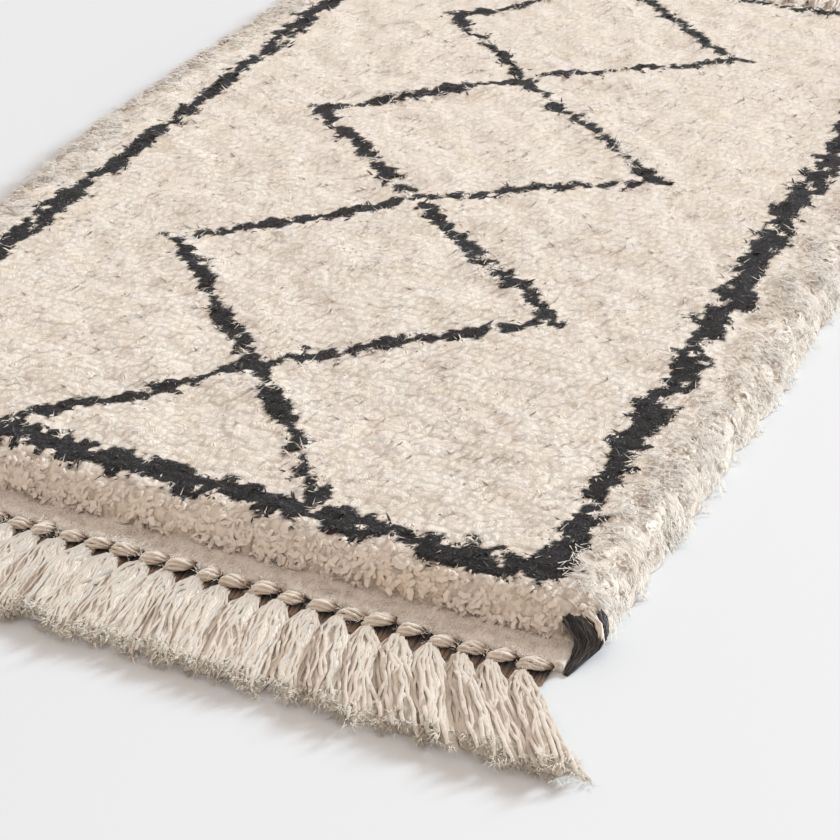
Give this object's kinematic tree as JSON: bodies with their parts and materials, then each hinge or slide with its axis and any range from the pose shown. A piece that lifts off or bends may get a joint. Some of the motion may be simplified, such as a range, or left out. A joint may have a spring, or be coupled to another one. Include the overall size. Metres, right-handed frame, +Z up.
{
  "type": "knotted pile rug with fringe",
  "caption": "Rectangular hand-knotted wool pile rug with a dark lozenge lattice, flat-woven ends and a knotted warp fringe; it lies flat on a floor.",
  "frame": {"origin": "centre of the underside, on the floor", "axes": "+Y along the rug, from the near fringe to the far one, +X across it, +Z up out of the pile"},
  "size_m": [0.6244, 1.1524, 0.028],
  "materials": {
    "cream_wool": "soft uneven hand-knotted wool pile, matt with a faint sheen",
    "warp_yarn": "plied natural yarn, matt",
    "black_wool": "dark brown-black wool, matt with fine fibres"
  },
  "bodies": {
    "root": {"rug_body": "cream_wool", "fringe_near": "warp_yarn", "fringe_far": "warp_yarn", "corner_wrap_near_right": "black_wool", "corner_wrap_near_left": "black_wool", "corner_wrap_far_right": "black_wool", "corner_wrap_far_left": "black_wool"}
  },
  "joints": []
}
